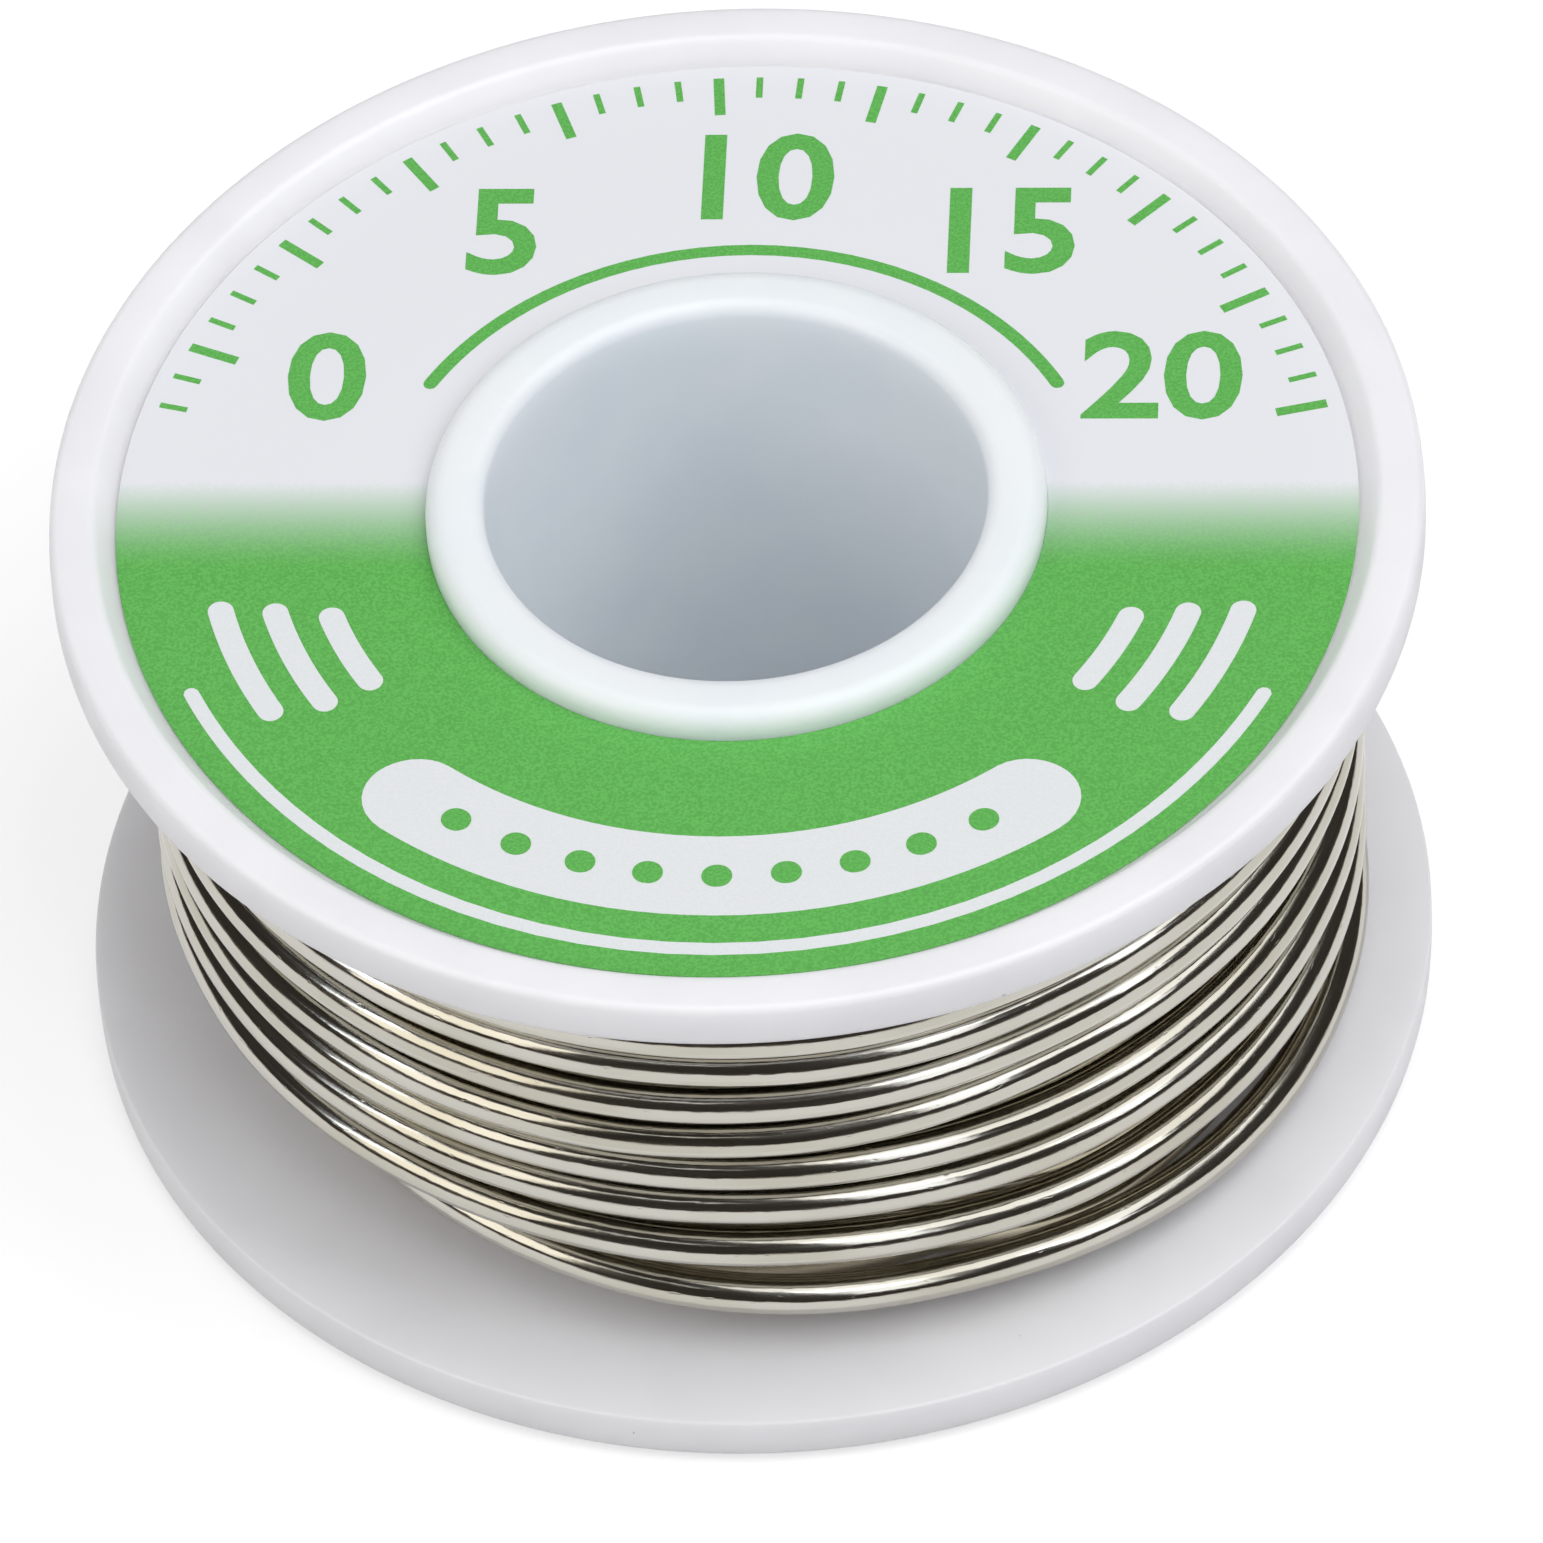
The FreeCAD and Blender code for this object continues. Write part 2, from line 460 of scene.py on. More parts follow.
def turned_piece(name: str, outline: np.ndarray, material: Material, steps: int = 240
                 ) -> Object:
    """Turns a closed outline about the axis.

    A point of the surface is (radius cos a, radius sin a, height), for each point of
    the outline and each angle a of the full turn.

    Args:
        name: The piece's name.
        outline: Rows of radius and height, anticlockwise with radius to the right. They
            are either for every angle, or a set of rows for each.
        material: The piece's finish.
        steps: Number of steps round the axis.

    Returns:
        The new piece.
    """
    angle = np.linspace(0, 2 * math.pi, steps, endpoint=False)[:, None]
    radius, level = outline[..., 0], outline[..., 1]
    points = np.stack([radius * np.cos(angle), radius * np.sin(angle), level + 0 * angle], axis=-1)
    faces = grid_quads(steps, outline.shape[-2], True, True)[:, ::-1]
    return mesh_piece(name, points.reshape(-1, 3), faces.tolist(), material)


class End(Enum):
    """The two ends of the spool."""

    LOWER = "lower"
    UPPER = "upper"


@dataclass
class Mouldings:
    """The two flanges and the hub tube between them."""

    flange_radius: float
    height: float
    flange_thickness: float
    flange_finish: Material
    hub_finish: Material
    rim_width: float = 2.4
    lower_shrinkage: float = 0.15
    rim_drop: float = 0.35
    rim_edge_radius: float = 0.3
    bend_depth: float = 1.2
    bend_radius: float = 3.0
    taper_radius: float = 30.0
    draft: float = 0.06
    inner_edge_radius: float = 0.3
    lower_inner_edge_radius: float = 0.1
    taper: float = 0.45
    taper_width: float = 7.0
    recess_depth: float = 1.3
    recess_slope: float = 0.65
    recess_edge_radius: float = 0.4
    foot_radius: float = 0.2
    crisp_radius: float = 0.05
    bore_radius: float = 9.7
    bore_mouth_radius: float = 0.55
    collar_radius: float = 12.0
    collar_draft: float = 0.04
    collar_edge_radius: float = 0.75
    shoulder_height: float = 0.8
    flange_play: float = 0.03
    slot: str = "spool_plastic"

    def flange(self, end: End) -> None:
        """Makes a flange: a plate with a rim round the recess of its outer face.

        The rim stands a little lower than the collar. The recess has a sloped wall, the
        outer wall bends softly, and the plate gets thinner near the outer wall.

        Args:
            end: The end of the spool that the flange is on.
        """
        hole = self.collar_radius + self.flange_play
        lower = end is End.LOWER
        edge = self.flange_radius - (self.lower_shrinkage if lower else 0)
        inner_rounding = self.lower_inner_edge_radius if lower else self.inner_edge_radius
        recess = self.flange_radius - self.rim_width
        inside = self.flange_thickness
        outline = rounded_outline([
            (hole, inside, self.crisp_radius),
            (hole, self.recess_depth, self.crisp_radius),
            (recess, self.recess_depth, self.foot_radius),
            (recess + self.recess_slope, self.rim_drop, self.recess_edge_radius),
            (edge - self.draft, self.rim_drop, self.rim_edge_radius),
            (edge, self.bend_depth, self.bend_radius),
            (edge, inside - self.taper, inner_rounding),
            (edge - self.taper_width, inside, self.taper_radius),
        ])
        if end is End.UPPER:
            outline = (outline * (1, -1) + (0, self.height))[::-1]
        piece = turned_piece(f"{end.value}_flange_moulding", outline, self.flange_finish)
        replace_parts(piece, f"{end.value}_flange")

    def collar_radius_at(self, depth: float) -> float:
        """Gives the tapering collar's radius at a depth below its end, in millimetres."""
        return self.collar_radius - self.collar_draft * (1 - depth / self.flange_thickness)

    def hub(self) -> None:
        """Makes the hub tube, whose ends taper a little and are the collars round the bore."""
        collar = self.collar_radius
        barrel = collar + self.shoulder_height
        inside = self.flange_thickness
        lower_end = [
            (self.bore_radius, 0, self.bore_mouth_radius),
            (collar - self.collar_draft, 0, self.collar_edge_radius),
            (collar, inside, self.crisp_radius),
            (barrel, inside, self.crisp_radius),
        ]
        upper_end = [(radius, self.height - level, size) for radius, level, size in reversed(lower_end)]
        outline = rounded_outline(lower_end + upper_end)
        piece = turned_piece("hub_tube_moulding", outline, self.hub_finish)
        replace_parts(piece, "hub_tube")

    def build(self) -> None:
        """Makes both flanges and the hub tube."""
        self.flange(End.LOWER)
        self.flange(End.UPPER)
        self.hub()


@dataclass
class Label:
    """The ring label, with a generic print of a graduated scale, plain numbers and bands.

    Angles are in degrees from the label's right, anticlockwise. A mark has an inner and
    an outer radius and a width, and a band the radius of its middle, a width and two ends.
    """

    inner_radius: float
    outer_radius: float
    seat: float
    top: float
    paper: Material
    green: Material
    white: Material
    edge_radius: float = 0.03
    ink_height: float = 0.012
    ink_thickness: float = 0.03
    second_ink_lift: float = 0.02
    tip_bluntness: float = 0.002
    scale: range = range(14, 167, 4)
    long_every: int = 4
    long_mark: Sizes = (21.3, 23.3, 0.42)
    short_mark: Sizes = (22.2, 23.3, 0.26)
    number_size: float = 6.4
    number_radius: float = 17.6
    number_boldness: float = 0.018
    arc: Sizes = (13.9, 0.55, 29, 151)
    dot_radius: float = 18.9
    dot_size: float = 1.1
    dot_half_turn: float = 0.1
    slot: str = "label_paper"

    def ring(self) -> None:
        """Makes the paper ring."""
        outline = rounded_outline([(radius, level, self.edge_radius) for radius, level in (
            (self.inner_radius, self.seat), (self.outer_radius, self.seat),
            (self.outer_radius, self.top), (self.inner_radius, self.top),
        )], steps=3, hold=0.01)
        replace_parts(turned_piece("ring_label", outline, self.paper), "face_label")

    def band(self, radius: float, width: float, start: float, end: float, steps: int = 48) -> Patch:
        """Works out a band along a circle, with round ends.

        A point lies at the band's radius plus a share, from minus to plus one, of its
        half width. Within a half width of an end, the half width there shrinks to the
        root of one less the square of how far in the end's round the point lies. The
        tip is a little blunt, so that no face there closes to a line.

        Args:
            radius: Of the band's middle.
            width: Across the band.
            start: Angle of one end.
            end: Angle of the other end.
            steps: Number of steps along the band.

        Returns:
            The patch.
        """
        half = width / 2
        turn = np.radians(np.array([start, end]) + LABEL_TURN)
        length = radius * (turn[1] - turn[0])
        # Steps are close together at the ends, where the band is round.
        way = (1 - np.cos(np.linspace(0, math.pi, steps + 1))) / 2 * (length + 2 * half) - half
        outside = np.clip(np.maximum(-way, way - length) / half, 0, 1)
        reach = half * np.sqrt(1 + self.tip_bluntness - outside ** 2)
        angle = turn[0] + way / radius
        distance = radius + np.array([-1.0, 1.0])[:, None] * reach
        points = np.stack([distance * np.cos(angle), distance * np.sin(angle), 0 * distance], axis=-1)
        return points.reshape(-1, 3), grid_quads(2, steps + 1, False, False)[:, ::-1]

    def print_patches(self, name: str, patches: list[Patch], ink: Material, lift: float = 0.0) -> None:
        """Makes one piece of ink from several patches, a thin closed film let into the paper.

        Args:
            name: The piece's name.
            patches: What to print.
            ink: The finish of the ink.
            lift: How much higher it lies than ink on bare paper.
        """
        starts = np.cumsum([0] + [len(points) for points, _ in patches[:-1]])
        points = np.concatenate([points for points, _ in patches])
        quads = np.concatenate([quads + start for start, (_, quads) in zip(starts, patches)])
        points[:, 2] = self.top + self.ink_height + lift
        piece = mesh_piece(name, points, quads.tolist(), ink, smooth=False)
        film = piece.modifiers.new("film", "SOLIDIFY")
        film.thickness = self.ink_thickness * MM
        film.offset = -1

    def numeral(self, text: str, angle: float) -> None:
        """Prints a plain number in green, upright, with its middle on a circle.

        Args:
            text: The number.
            angle: Of the number's middle.
        """
        curve = bpy.data.curves.new(f"number_{text}", "FONT")
        curve.body = text
        curve.offset = self.number_boldness
        curve.extrude = self.ink_thickness / self.number_size / 2
        curve.align_x = curve.align_y = "CENTER"
        curve.resolution_u = 4
        type_object = linked_object(f"type_{text}", curve)
        graph = bpy.context.evaluated_depsgraph_get()
        mesh = bpy.data.meshes.new_from_object(type_object.evaluated_get(graph))
        bpy.data.objects.remove(type_object)
        turn = math.radians(angle)
        place = Vector((self.number_radius * math.cos(turn), self.number_radius * math.sin(turn),
                        self.top + self.ink_height - self.ink_thickness / 2)) * MM
        mesh.transform(Matrix.Rotation(math.radians(LABEL_TURN), 4, "Z") @ Matrix.Translation(place)
                       @ Matrix.Scale(self.number_size * MM, 4))
        mesh.materials.clear()
        mesh.materials.append(self.green)
        piece = linked_object(f"label_number_{text}", mesh)
        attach(piece, BODY)

    def mark(self, angle: float, inner: float, outer: float, width: float) -> Patch:
        """Works out one straight mark of the scale, along the radius.

        Args:
            angle: Of the mark.
            inner: Radius of one end.
            outer: Radius of the other end.
            width: Across the mark.

        Returns:
            The patch.
        """
        turn = math.radians(angle + LABEL_TURN)
        along = np.array([math.cos(turn), math.sin(turn), 0])
        across = np.array([-along[1], along[0], 0]) * width / 2
        inner_end, outer_end = along * inner, along * outer
        corners = [inner_end - across, outer_end - across, outer_end + across, inner_end + across]
        return np.array(corners), np.array([[0, 1, 2, 3]])

    def build(self) -> None:
        """Makes the ring and its print."""
        self.ring()
        marks = [
            self.mark(angle, *(self.short_mark if place % self.long_every else self.long_mark))
            for place, angle in enumerate(self.scale)
        ]
        self.print_patches("label_scale", [*marks, self.band(*self.arc)], self.green)
        for text, angle in (("0", 157), ("5", 123.5), ("10", 90), ("15", 56.5), ("20", 23)):
            self.numeral(text, angle)
        dots = [
            self.band(self.dot_radius, self.dot_size, middle - self.dot_half_turn,
                      middle + self.dot_half_turn, 20)
            for middle in range(238, 303, 8)
        ]
        self.print_patches("label_green_dots", dots, self.green, self.second_ink_lift)
        bands = [self.band(*sizes) for sizes in (
            (self.dot_radius, 4.0, 232, 308), (22.6, 0.6, 205, 335),
            (20.3, 1.0, 195, 211), (18.3, 1.0, 197, 213), (16.3, 1.0, 200, 213),
            (20.3, 1.0, 329, 345), (18.3, 1.0, 327, 343), (16.3, 1.0, 327, 340),
        )]
        self.print_patches("label_white_bands", bands, self.white)


@dataclass
class Winding:
    """The solder wire: its outer layer, the layer under it, and a plain core.

    Azimuths are in degrees from the right, anticlockwise, and counted on from turn to
    turn along the wire's one route. The outer layer's first turn is the one from 0 to 360.
    """

    outer_finish: Material
    inner_finish: Material
    flux: Material
    low: float
    high: float
    wire_radius: float = 0.8
    layer_radius: float = 22.85
    layer_shift: float = 0.27
    layer_depth: float = 1.95
    front_flatness: float = 0.2
    inner_pitch: float = 1.93
    inner_turns: float = 8.4
    barrel_radius: float = 12.9
    flange_play: float = 0.05
    bend_size: float = 0.06
    core_share: float = 0.42
    steps_per_turn: int = 300
    sides: int = 22
    joint_azimuth: float = 100.0
    emerge_azimuth: float = 200.0
    emerge_span: float = 68.0
    left_azimuth: float = 205.0
    front_azimuth: float = 270.0
    right_azimuth: float = 305.0
    climb_azimuth: float = 345.0
    end_azimuth: float = 8 * 360 + 364.0
    emerge_height: float = 7.4
    # Of the foot: its two ends, where it lies lowest, the dip's middle, half width and blend on
    # both sides, and how long the dip at the end is.
    foot_ends: Sizes = (-75.0, 735.0)
    foot_lowest: float = 720.0
    foot_dip: Sizes = (228.0, 48.0, 32.0)
    foot_end_dip: float = 35.0
    # Heights of the turns after the first, upwards, on the left, at the front and on the right. It
    # was wound by machine, but loosely.
    lays: tuple[Sizes, ...] = (
        (9.0, 8.5, 7.75), (11.0, 11.0, 10.6), (12.95, 12.95, 12.95), (14.6, 14.85, 15.8),
        (16.75, 16.85, 17.5), (18.95, 18.95, 19.4), (20.7, 20.53, 21.0), (23.0, 22.86, 22.95),
    )
    slot: str = "solder"

    def heights(self, angle: np.ndarray) -> np.ndarray:
        """Works out the height of the two outer layers along their one route.

        The layer under the outer one winds down at an even pitch, as far as the left
        of the first turn. Between two set heights the route is a cubic. Its slope at
        each of them is the harmonic mean of the slopes of the two chords that meet
        there, or level where those differ in sign.

        Args:
            angle: Degrees along the route, counted on from turn to turn.

        Returns:
            Heights in millimetres.
        """
        lowest = self.low + self.wire_radius + self.flange_play
        # Azimuths and heights where the first turn falls across the front, to the flange.
        first_turn = [(220, 7.1), (240, 6.6), (self.front_azimuth, 5.64), (290, 5.15),
                      (self.right_azimuth, 4.5), (320, 3.95), (self.climb_azimuth, lowest)]
        inner_turns = range(math.ceil(self.inner_turns) + 1, -1, -1)
        knots = [(self.left_azimuth - 360 * turn, self.emerge_height + self.inner_pitch * turn)
                 for turn in inner_turns] + first_turn
        azimuths = (self.left_azimuth, self.front_azimuth, self.right_azimuth, self.climb_azimuth)
        for turn, (left, front, right) in enumerate(self.lays, start=1):
            levels = (left, front, right, right)
            knots += [(360 * turn + azimuth, level) for azimuth, level in zip(azimuths, levels)]
        place, level = np.array(knots, float).T
        step = np.diff(place)
        chord = np.diff(level) / step
        product = chord[:-1] * chord[1:]
        total = chord[:-1] + chord[1:]
        mean = np.where(product > 0, 2 * product / np.where(total == 0, 1, total), 0)
        slope = np.concatenate([chord[:1], mean, [0.0]])
        part = np.clip(np.searchsorted(place, angle) - 1, 0, len(place) - 2)
        share = np.clip((angle - place[part]) / step[part], 0, 1)
        rise = share ** 2 * (3 - 2 * share)
        leaving = share * (1 - share) ** 2 * slope[part] * step[part]
        arriving = share ** 2 * (share - 1) * slope[part + 1] * step[part]
        return level[part] + np.diff(level)[part] * rise + leaving + arriving

    def radii(self, angle: np.ndarray) -> np.ndarray:
        """Works out how far the wire's middle lies from the axis.

        It stands out to the right by the cosine of the angle, and is a little flat at
        the front, by the fourth power of the sine. The route comes out from the layer
        under the outer one by a smooth step, over the front of the first turn.

        Args:
            angle: Degrees along the route.

        Returns:
            Radii in millimetres.
        """
        share = np.clip((angle - self.emerge_azimuth) / self.emerge_span, 0, 1)
        inset = self.layer_depth * (1 - share ** 2 * (3 - 2 * share))
        turn = np.radians(angle)
        flat_front = self.front_flatness * np.clip(-np.sin(turn), 0, 1) ** 4
        return self.layer_radius + self.layer_shift * np.cos(turn) - flat_front - inset

    def wander(self, length: np.ndarray, seed: int, size: float) -> np.ndarray:
        """Adds up eight sines of random phase, with waves of 5 to 30 mm: the wire's small bends.

        Args:
            length: Millimetres along the wire.
            seed: Of the random waves and phases.
            size: How far the bends go at most.

        Returns:
            The bends, in millimetres.
        """
        chance = np.random.default_rng(seed)
        waves = chance.uniform(5, 30, 8)
        phases = chance.uniform(0, 2 * math.pi, 8)
        shares = waves / waves.sum()
        return size * (shares * np.sin(2 * math.pi * length[:, None] / waves + phases)).sum(axis=1)

    def tube(self, name: str, route: np.ndarray, finish: Material) -> Object:
        """Carries the wire's circle along a route round the axis.

        A point is the route's point plus the wire's radius times (cosine of b times
        the outward direction, plus sine of b times the direction square to it and to
        the route). The ends are closed by a smaller ring and a middle point, which
        are the flux core.

        Args:
            name: The piece's name.
            route: Rows of X, Y and Z in millimetres.
            finish: The wire's material.

        Returns:
            The wire, with a UV map in metres along and round it.
        """
        along = unit(np.gradient(route, axis=0))
        outward = route * (1, 1, 0)
        outward = unit(outward - along * (outward * along).sum(axis=1, keepdims=True))
        square = np.cross(along, outward)
        round_angle = np.linspace(0, 2 * math.pi, self.sides, endpoint=False)[None, :, None]
        ring = np.cos(round_angle) * outward[:, None] + np.sin(round_angle) * square[:, None]
        tube = route[:, None] + self.wire_radius * ring
        ends = [route[place] + self.wire_radius * self.core_share * ring[place] for place in (0, -1)]
        points = np.concatenate([tube.reshape(-1, 3), *ends, route[:1], route[-1:]])
        count, sides = len(route), self.sides
        quads = grid_quads(count, sides, False, True).tolist()
        side = np.arange(sides)
        after = (side + 1) % sides
        rims, cores = [], []
        # The last end faces the other way, so its corners go round the other way too.
        for rim, core, middle, left, right in (
            (0, count * sides, (count + 2) * sides, after, side),
            ((count - 1) * sides, (count + 1) * sides, (count + 2) * sides + 1, side, after),
        ):
            rims += np.stack([rim + left, rim + right, core + right, core + left], axis=1).tolist()
            cores += np.stack([core + left, core + right, middle + 0 * side], axis=1).tolist()
        faces = quads + rims + cores
        place = np.arange(len(faces))
        piece = mesh_piece(name, points, faces, finish, smooth=place < len(quads))
        piece.data.materials.append(self.flux)
        piece.data.polygons.foreach_set("material_index", (place >= len(quads + rims)).astype(int))
        self.lay_uv(piece.data, route)
        return piece

    def lay_uv(self, mesh: Mesh, route: np.ndarray) -> None:
        """Lays the UV map: metres along the wire and metres round it, with no seam in the last strip.

        Args:
            mesh: The wire's mesh.
            route: The route that it follows.
        """
        length = np.cumsum(np.linalg.norm(np.diff(route, axis=0, prepend=route[:1]), axis=1))
        ends = length[[0, -1]]
        along = np.concatenate([np.repeat([*length, *ends], self.sides), ends])
        side = np.concatenate([np.tile(np.arange(self.sides), len(route) + 2), [0, 0]])
        corner_points = np.empty(len(mesh.loops), int)
        mesh.loops.foreach_get("vertex_index", corner_points)
        side = side[corner_points]
        strips = side[:(len(route) - 1) * self.sides * 4].reshape(-1, 4)
        strips[(np.ptp(strips, axis=1, keepdims=True) > 1) & (strips == 0)] = self.sides
        around = side / self.sides * 2 * math.pi * self.wire_radius
        uv = np.stack([along[corner_points], around], axis=1) * MM
        mesh.uv_layers.new(name="wire").data.foreach_set("uv", uv.ravel())

    def route(self, start: float, end: float) -> np.ndarray:
        """Works out the wire's route, with its small bends.

        Args:
            start: Angle of its first point, in degrees.
            end: Angle of its last point.

        Returns:
            Rows of X, Y and Z in millimetres.
        """
        angle = np.linspace(start, end, int((end - start) / 360 * self.steps_per_turn))
        turn = np.radians(angle)
        length = turn * self.layer_radius
        radius = self.radii(angle) + self.wander(length, 3, self.bend_size)
        level = self.heights(angle) + self.wander(length, 4, self.bend_size)
        level = np.clip(level, self.low + self.wire_radius, self.high - self.wire_radius)
        return np.stack([radius * np.cos(turn), radius * np.sin(turn), level], axis=1)

    def two_layers(self) -> None:
        """Makes the outer layer, and the one under it, which ends where the outer one's piece starts."""
        route = self.route(self.joint_azimuth, self.end_azimuth)
        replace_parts(self.tube("solder_outer_winding", route, self.outer_finish), "solder_outer_layer")
        route = self.route(self.joint_azimuth - self.inner_turns * 360, self.joint_azimuth)
        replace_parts(self.tube("solder_second_layer", route, self.inner_finish), "solder_inner_layers")

    def foot(self) -> None:
        """Makes the last turns of the second layer, at the bottom of the right and the back.

        They wind down to the flange at one wire's width a turn. On the left and at the
        front they dip into the next layer, out of the first turn's way, and at their
        end too. The dip is a smooth step of how far an azimuth is from its middle.
        """
        start, end = self.foot_ends
        angle = np.linspace(start, end, int((end - start) / 360 * self.steps_per_turn))
        turn = np.radians(angle)
        level = self.low + self.wire_radius * (1.03 + 2.0 * (self.foot_lowest - angle) / 360)
        level = np.clip(level + self.wander(turn * self.layer_radius, 8, 0.05),
                        self.low + self.wire_radius, self.high)
        middle, half_width, blend = self.foot_dip
        away = np.abs((angle - middle + 180) % 360 - 180)
        share = np.clip((away - half_width) / blend, 0, 1)
        dip = self.layer_depth * (1 - share ** 2 * (3 - 2 * share))
        at_end = np.clip((angle - end) / self.foot_end_dip + 1, 0, 1)
        radius = self.layer_radius - self.layer_depth - self.layer_shift * (1 - np.cos(turn)) / 2
        radius = radius - np.maximum(dip, self.layer_depth * at_end)
        route = np.stack([radius * np.cos(turn), radius * np.sin(turn), level], axis=1)
        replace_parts(self.tube("solder_second_layer_foot", route, self.inner_finish), "solder_inner_layers")

    def core(self) -> None:
        """Makes the layers under those as one form, with the ridges of the third layer's turns.

        At an angle a and a height z its radius is the third layer's, plus the root of
        the wire's radius squared less the square of how far z lies from the nearest
        turn, whose height climbs by one pitch with each full turn of a.
        """
        steps, levels, flattest = 180, 121, 0.05
        angle = np.linspace(0, 2 * math.pi, steps, endpoint=False)[:, None]
        level = np.linspace(self.low, self.high, levels)[None, :] + 0 * angle
        climb = self.inner_pitch * angle / (2 * math.pi)
        offset = (level - self.low - climb) % self.inner_pitch - self.inner_pitch / 2
        ridge = np.sqrt(np.clip(self.wire_radius ** 2 - offset ** 2, flattest, None))
        outside = self.layer_radius - 2 * self.layer_depth + ridge
        # The outline starts and ends at the barrel.
        radius = np.pad(outside, ((0, 0), (1, 1)), constant_values=self.barrel_radius)
        outline = np.stack([radius, np.pad(level, ((0, 0), (1, 1)), mode="edge")], axis=-1)
        piece = turned_piece("solder_core_layers", outline, self.inner_finish, steps)
        piece.data.uv_layers.new(name="wire")
        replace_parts(piece, "solder_inner_layers")

    def build(self) -> None:
        """Makes all the wire."""
        self.two_layers()
        self.foot()
        self.core()


@dataclass(frozen=True)
class Softbox:
    """A rectangular studio lamp that faces the spool.

    Its place is given by azimuth, anticlockwise from the right, and elevation, in
    degrees, and its brightness by how bright its face is next to white paper.
    """

    name: str
    azimuth: float
    elevation: float
    width: float
    height: float
    brightness: float
    colour: str = "FFFFFF"
    roll: float = 0.0
    distance: float = 1.1
    in_reflections: bool = True

    def build(self) -> None:
        """Makes the lamp. Its power is its brightness times pi times its area."""
        lamp = bpy.data.lights.new(self.name, "AREA")
        lamp.shape = "RECTANGLE"
        lamp.size = self.width
        lamp.size_y = self.height
        lamp.energy = self.brightness * math.pi * self.width * self.height
        lamp.color = linear(self.colour)[:3]
        piece = linked_object(self.name, lamp)
        azimuth, elevation = math.radians(self.azimuth), math.radians(self.elevation)
        direction = Vector((math.cos(azimuth) * math.cos(elevation),
                            math.sin(azimuth) * math.cos(elevation), math.sin(elevation)))
        piece.location = direction * self.distance
        piece.rotation_euler = direction.to_track_quat("Z", "Y").to_euler()
        piece.rotation_euler.rotate_axis("Z", math.radians(self.roll))
        piece.visible_glossy = self.in_reflections


@dataclass(frozen=True)
class CurtainCloth(Finish):
    """Dark matt cloth, which turns brown towards its hem on the floor."""

    name: str = "brown_curtain_cloth"
    colour: str = "504B47"
    hem_colour: str = "9A7B62"
    hem_height: float = 0.11

    def shader(self, add: AddNode) -> NodeSocket:
        """Fades the hem's colour into the cloth's over the hem's height, in metres."""
        level = add("SeparateXYZ", (add("TexCoord", output="Object"),), "Z")
        return add("BsdfDiffuse", (mottled(add, level, 0, self.hem_height, self.hem_colour, self.colour),))


@dataclass(frozen=True)
class Curtain:
    """The dark curtain round the table, behind the lamps.

    Bright metal shows it as the dark bands between the lamps. It is hidden from the
    camera and from matt surfaces, so other views keep the pale background and light.
    """

    top: float = 75.0
    distance: float = 1.3
    steps: int = 64

    def build(self) -> None:
        """Makes the curtain, a patch of a sphere round the spool.

        A point is the distance times (cosine of e cosine of a, cosine of e sine of a,
        sine of e), over a grid of azimuths a and elevations e.
        """
        azimuth = np.linspace(0, 2 * math.pi, self.steps, endpoint=False)[:, None]
        elevation = np.radians(np.linspace(0, self.top, self.steps))[None, :]
        points = self.distance * np.stack([
            np.cos(elevation) * np.cos(azimuth), np.cos(elevation) * np.sin(azimuth),
            np.sin(elevation) + 0 * azimuth,
        ], axis=-1)
        faces = grid_quads(self.steps, self.steps, True, False)
        mesh = bpy.data.meshes.new("curtain")
        mesh.from_pydata(points.reshape(-1, 3), [], faces.tolist())
        mesh.materials.append(CurtainCloth().make())
        curtain = linked_object("curtain", mesh)
        curtain.visible_camera = curtain.visible_diffuse = False


def background_ray(add: AddNode) -> NodeSocket:
    """Adds a value that is one for camera, glossy and transmission rays, and else zero.

    Args:
        add: Adds a node to the tree.

    Returns:
        The value's socket.
    """
    rays = add("LightPath").node.outputs
    straight = add("Math", (rays["Is Camera Ray"], rays["Is Glossy Ray"]), operation="MAXIMUM")
    return add("Math", (straight, rays["Is Transmission Ray"]), operation="MAXIMUM")


@dataclass(frozen=True)
class StudioPaper(Finish):
    """Matt grey paper. It keeps the spool's shadow, and glows just enough to look white."""

    name: str = "studio_paper"
    colour: str = "C0C0C0"
    glow: float = 0.57

    def shader(self, add: AddNode) -> NodeSocket:
        """Adds the glow, which lights nothing, to the matt paper."""
        glow = add("Math", (background_ray(add), self.glow), operation="MULTIPLY")
        return add("AddShader", (add("BsdfDiffuse", (linear(self.colour),)), add("Emission", (WHITE, glow))))


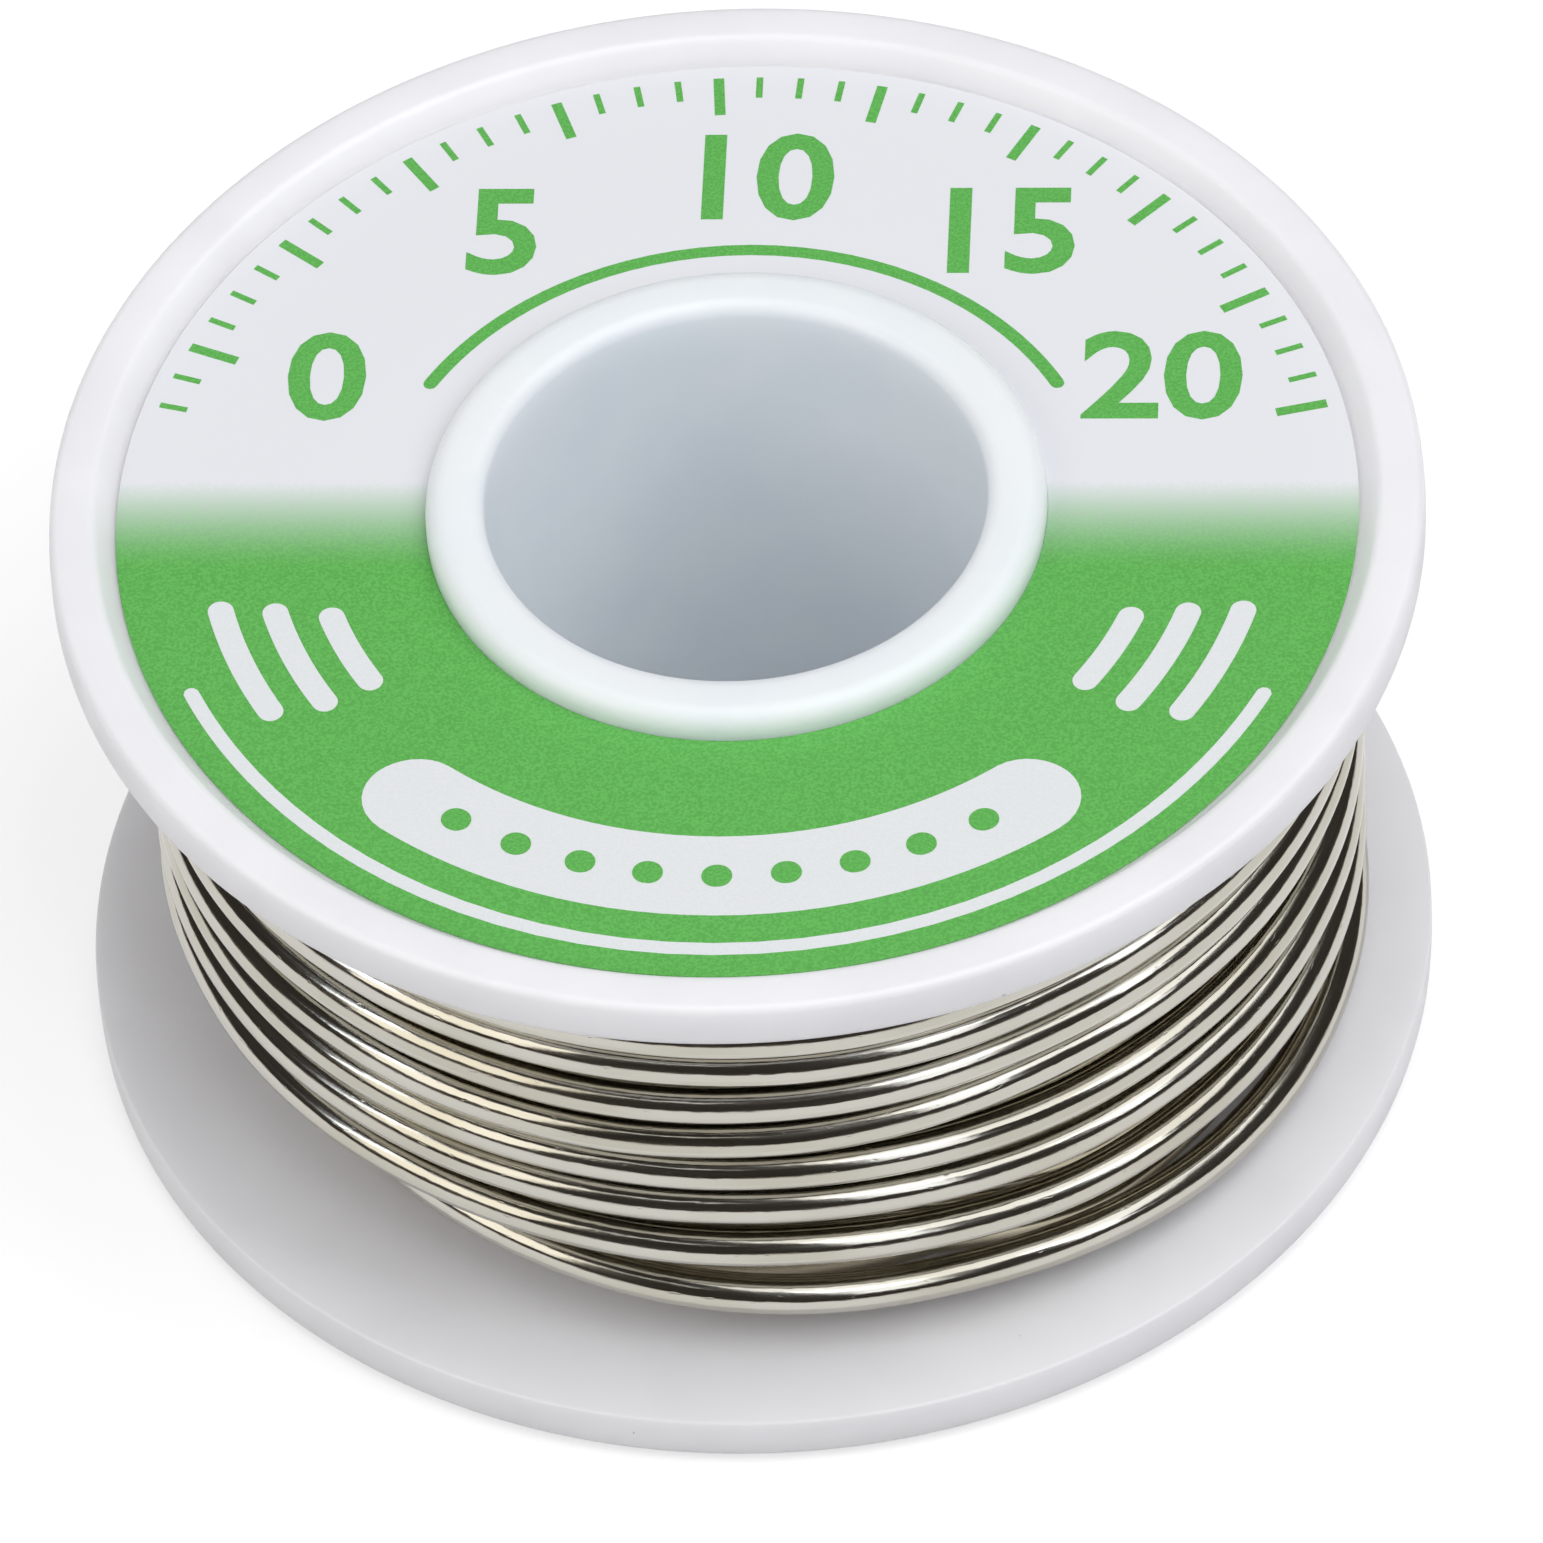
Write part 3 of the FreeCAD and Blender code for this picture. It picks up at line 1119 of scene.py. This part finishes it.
@dataclass
class Studio:
    """The pale floor, the lamps, the surroundings and the camera.

    The camera stands where the photograph was taken from, by the fit to the spool's
    two rims. Its target and distance are in millimetres, its angles in degrees.
    """

    floor_size: float = 12.0
    floor_play: float = 0.02
    ambient: float = 0.45
    ambient_colour: str = "F9FAFF"
    target: Sizes = (0.7, 0.0, 10.6)
    elevation: float = 47.65
    roll: float = -3.65
    distance: float = 717.1
    lens: float = 428.1

    def floor(self) -> None:
        """Lays the floor, just under the spool."""
        half = self.floor_size / 2
        mesh = bpy.data.meshes.new("floor")
        corners = [(-half, -half, 0), (half, -half, 0), (half, half, 0), (-half, half, 0)]
        mesh.from_pydata(corners, [], [(0, 1, 2, 3)])
        mesh.materials.append(StudioPaper().make())
        floor = linked_object("floor", mesh)
        floor.location.z = -self.floor_play * MM

    def surroundings(self) -> None:
        """Sets the world: an even light, which the camera and shiny surfaces see as white."""
        world = bpy.data.worlds.new("studio")
        bpy.context.scene.world = world
        world.use_nodes = True
        world.node_tree.nodes.clear()
        add = partial(add_node, world.node_tree)
        seen = background_ray(add)
        strength = add("Mix", {0: seen, 2: self.ambient, 3: 1.0}, data_type="FLOAT")
        colour = add("Mix", {0: seen, 6: linear(self.ambient_colour), 7: WHITE}, **COLOUR_MIX)
        background = add("Background", (colour, strength))
        add("OutputWorld", (background,))

    def camera(self) -> None:
        """Places the camera."""
        elevation = math.radians(self.elevation)
        lens = bpy.data.cameras.new("camera")
        lens.sensor_width = 36.0
        lens.lens = self.lens
        lens.clip_start = 0.01
        camera = linked_object("camera", lens)
        away = Vector((0.0, -math.cos(elevation), math.sin(elevation)))
        camera.location = (Vector(self.target) + away * self.distance) * MM
        camera.rotation_euler = away.to_track_quat("Z", "Y").to_euler()
        camera.rotation_euler.rotate_axis("Z", math.radians(self.roll))
        bpy.context.scene.camera = camera

    def build(self) -> None:
        """Builds the whole studio."""
        bpy.context.scene.view_settings.view_transform = "Standard"
        self.floor()
        self.surroundings()
        for lamp in (
            Softbox("left_softbox", 213.5, 33, 0.62, 0.64, 1.75, "FFFAEF"),
            Softbox("left_edge_light", 192, 38, 0.06, 0.5, 5.0, "EAF1FF"),
            Softbox("overhead_softbox", -18, 67, 1.1, 1.1, 1.64, roll=45),
            Softbox("right_strip_light", -67, 43, 0.28, 0.7, 2.0, "F6F9FF"),
            Softbox("right_edge_light", -27, 36, 0.18, 0.5, 2.4, "F6F9FF"),
            Softbox("front_fill_light", -92, 74, 0.6, 0.6, 0.35, in_reflections=False),
            Softbox("left_strip_light", -114, 50, 0.36, 0.05, 1.6),
        ):
            lamp.build()
        Curtain().build()
        self.camera()


def main() -> None:
    """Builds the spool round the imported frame, and then the studio."""
    logging.basicConfig(level=logging.INFO, format="%(message)s")
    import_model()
    lower = [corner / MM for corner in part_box("lower_flange")]
    upper = [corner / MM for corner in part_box("upper_flange")]
    label = [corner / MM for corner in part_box("face_label")]

    mouldings = Mouldings(
        flange_radius=min(lower[1].x, lower[1].y), height=upper[1].z, flange_thickness=lower[1].z,
        flange_finish=MouldedStyrene().make(),
        # The hub's copy of the white plastic is tinted blue: painted light, standing in for the bluish shade
        # in the bore and on the collar.
        hub_finish=MouldedStyrene("moulded_white_styrene_painted_bluish_shade", "F1F7FD", "EDF3FA",
                                  scatter_depth=2.2).make(),
    )
    mouldings.build()
    Label(
        inner_radius=mouldings.collar_radius_at(mouldings.recess_depth), outer_radius=label[1].x,
        seat=label[0].z, top=label[1].z,
        paper=LabelPaper().make(),
        green=PrintingInk("green_printing_ink", "67BD59", "57AB4B").make(),
        white=PrintingInk("white_printing_ink", "E6E7EA", "DFE4E2").make(),
    ).build()
    Winding(
        outer_finish=DrawnSolder().make(),
        # The layers under the outer one get a darker, browner and rougher copy of the solder: painted shade,
        # for the brown shade in the gaps between the turns.
        inner_finish=DrawnSolder("drawn_solder_painted_darker_for_shade", "B1A995", "A0967E", 0.18).make(),
        flux=FluxResin().make(), low=lower[1].z, high=upper[0].z,
    ).build()
    Studio().build()


if __name__ == "__main__":
    main()
